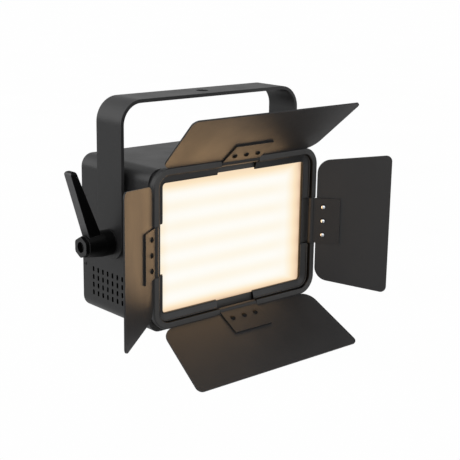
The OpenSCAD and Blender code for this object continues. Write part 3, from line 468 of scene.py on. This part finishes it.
def frame_corner(inset, y, radius):
    """Path of one bead round the frame's top right corner, from the top notch to the right notch."""
    low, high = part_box("barndoor_frame")
    centre = Vector(((low.x + high.x) / 2, low.y + y, (low.z + high.z) / 2))
    half = Vector(((high.x - low.x) / 2 - inset, 0, (high.z - low.z) / 2 - inset))
    turn = max(CORNER_R - inset, radius * 2)
    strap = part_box("hinge_top")
    notch = (strap[1].x - strap[0].x) / 2 + NOTCH_GAP
    path = [Vector((notch, 0, half.z))]
    for step in range(CORNER_STEPS + 1):
        a = math.pi / 2 * (1 - step / CORNER_STEPS)
        path.append(Vector((half.x - turn + turn * math.cos(a), 0, half.z - turn + turn * math.sin(a))))
    path.append(Vector((half.x, 0, notch)))
    return centre, path


def bead(name, inset, y, radius):
    """Round bead that follows the frame, broken at the four hinge straps and closed by rounded ends."""
    centre, corner = frame_corner(inset, y, radius)
    mesh = bmesh.new()
    for sx in (1, -1):
        for sz in (1, -1):
            tube(mesh, [centre + Vector((p.x * sx, 0, p.z * sz)) for p in corner], radius)
    bmesh.ops.recalc_face_normals(mesh, faces=mesh.faces)
    data = bpy.data.meshes.new(name)
    mesh.to_mesh(data)
    mesh.free()
    data.shade_smooth()
    data.materials.append(LOOKS["black_rubber"])
    piece = bpy.data.objects.new(name, data)
    bpy.context.scene.collection.objects.link(piece)
    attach(piece, "head")


def tube(mesh, path, radius):
    """Closed round tube along a path that lies in a plane of constant Y, narrowed at both ends."""
    rings = []
    last = len(path) - 1
    for i, point in enumerate(path):
        along = (path[min(i + 1, last)] - path[max(i - 1, 0)]).normalized()
        across = along.cross(Vector((0, 1, 0)))
        rings.append((point, across, radius))
    backward = (path[0] - path[1]).normalized()
    forward = (path[-1] - path[-2]).normalized()
    tip = radius * 0.7
    tip_radius = radius * 0.6
    rings.insert(0, (path[0] + backward * tip, rings[0][1], tip_radius))
    rings.append((path[-1] + forward * tip, rings[-1][1], tip_radius))
    turns = [2 * math.pi * k / BEAD_SIDES for k in range(BEAD_SIDES)]
    loops = []
    for point, across, r in rings:
        spokes = [across * math.cos(a) + Vector((0, math.sin(a), 0)) for a in turns]
        loops.append([mesh.verts.new(point + spoke * r) for spoke in spokes])
    for a, b in zip(loops, loops[1:]):
        for k in range(BEAD_SIDES):
            j = (k + 1) % BEAD_SIDES
            mesh.faces.new((a[k], a[j], b[j], b[k]))
    mesh.faces.new(loops[0])
    mesh.faces.new(loops[-1])


bead("gasket_outer", inset=7.7 * MM, y=3.9 * MM, radius=0.75 * MM)
bead("gasket_inner", inset=14.7 * MM, y=6.5 * MM, radius=0.6 * MM)


# ---------- floor, light, camera ----------

def floor():
    """Pale floor that stays white in the picture and gives the lamp a soft, dim reflection."""
    bpy.ops.mesh.primitive_plane_add(size=FLOOR_SIZE, location=(0, 0, FLOOR_Z))
    plane = bpy.context.object
    plane.name = "floor"
    t = Tree("pale_floor")
    seen = t.add("LightPath").outputs["Is Camera Ray"]
    tone = t.span(t.noise(0.4, 2.0), 0.3, 0.7, FLOOR_SEEN - 0.004, FLOOR_SEEN)
    level = t.add("Mix", data_type="FLOAT")
    x, y, _ = t.place()
    away = t.math("ADD", t.math("MULTIPLY", x, FAR_WAY[0]), t.math("MULTIPLY", y, FAR_WAY[1]))
    t.put(level.inputs[0], seen)
    t.put(level.inputs[2], t.span(away, FAR_FROM, FAR_TO, FLOOR_LEVEL, FLOOR_FAR))
    t.put(level.inputs[3], tone)
    emission = t.add("Emission", {"Color": (1.0, 1.0, 1.0, 1.0), "Strength": level.outputs[0]})
    plane.data.materials.append(t.surface(emission.outputs[0]))


def area(name, place, target, size, power):
    """Rectangular light at place, turned towards target."""
    data = bpy.data.lights.new(name, "AREA")
    data.shape = "RECTANGLE"
    data.size, data.size_y = size
    data.energy = power
    lamp = bpy.data.objects.new(name, data)
    lamp.location = place
    lamp.rotation_mode = "QUATERNION"
    lamp.rotation_quaternion = (Vector(target) - Vector(place)).to_track_quat("-Z", "Y")
    bpy.context.scene.collection.objects.link(lamp)


def studio():
    """Soft light from all round, dimmer beyond the lamp's far right, with a large softbox overhead."""
    world = bpy.data.worlds.new("studio")
    world.use_nodes = True
    tree = world.node_tree
    coord = tree.nodes.new("ShaderNodeTexCoord").outputs["Generated"]
    dot = tree.nodes.new("ShaderNodeVectorMath")
    dot.operation = "DOT_PRODUCT"
    dot.inputs[1].default_value = DIM_WAY.normalized()
    tree.links.new(coord, dot.inputs[0])
    span = tree.nodes.new("ShaderNodeMapRange")
    span.interpolation_type = "SMOOTHSTEP"
    limits = {"From Min": DIM_FROM, "From Max": DIM_TO, "To Min": ROOM_LEVEL, "To Max": DIM_LEVEL}
    for key, value in limits.items():
        span.inputs[key].default_value = value
    tree.links.new(dot.outputs["Value"], span.inputs["Value"])
    seen = tree.nodes.new("ShaderNodeLightPath").outputs["Is Camera Ray"]
    level = tree.nodes.new("ShaderNodeMix")
    tree.links.new(seen, level.inputs[0])
    tree.links.new(span.outputs["Result"], level.inputs[2])
    level.inputs[3].default_value = 1.0
    back = tree.nodes["Background"]
    back.inputs["Color"].default_value = (1.0, 1.0, 1.0, 1.0)
    tree.links.new(level.outputs[0], back.inputs["Strength"])
    bpy.context.scene.world = world
    area("softbox_top", SOFTBOX_AT, (0, 0, TILT_Z), SOFTBOX_SIZE, SOFTBOX_POWER)


def camera():
    """The photograph's viewpoint: its place, heading, pitch, roll and field of view."""
    ahead = Vector((math.sin(YAW) * math.cos(PITCH), math.cos(YAW) * math.cos(PITCH), math.sin(PITCH)))
    level = Vector((math.cos(YAW), -math.sin(YAW), 0))
    upward = level.cross(ahead)
    right = level * math.cos(ROLL) + upward * math.sin(ROLL)
    top = -level * math.sin(ROLL) + upward * math.cos(ROLL)
    data = bpy.data.cameras.new("camera")
    data.sensor_width = SENSOR
    data.lens = FOCAL
    data.clip_start = 20 * MM
    cam = bpy.data.objects.new("camera", data)
    cam.matrix_world = Matrix((right, top, -ahead)).transposed().to_4x4()
    cam.location = EYE
    bpy.context.scene.collection.objects.link(cam)
    bpy.context.scene.camera = cam


floor()
studio()
camera()
bpy.context.scene.view_settings.view_transform = "Standard"
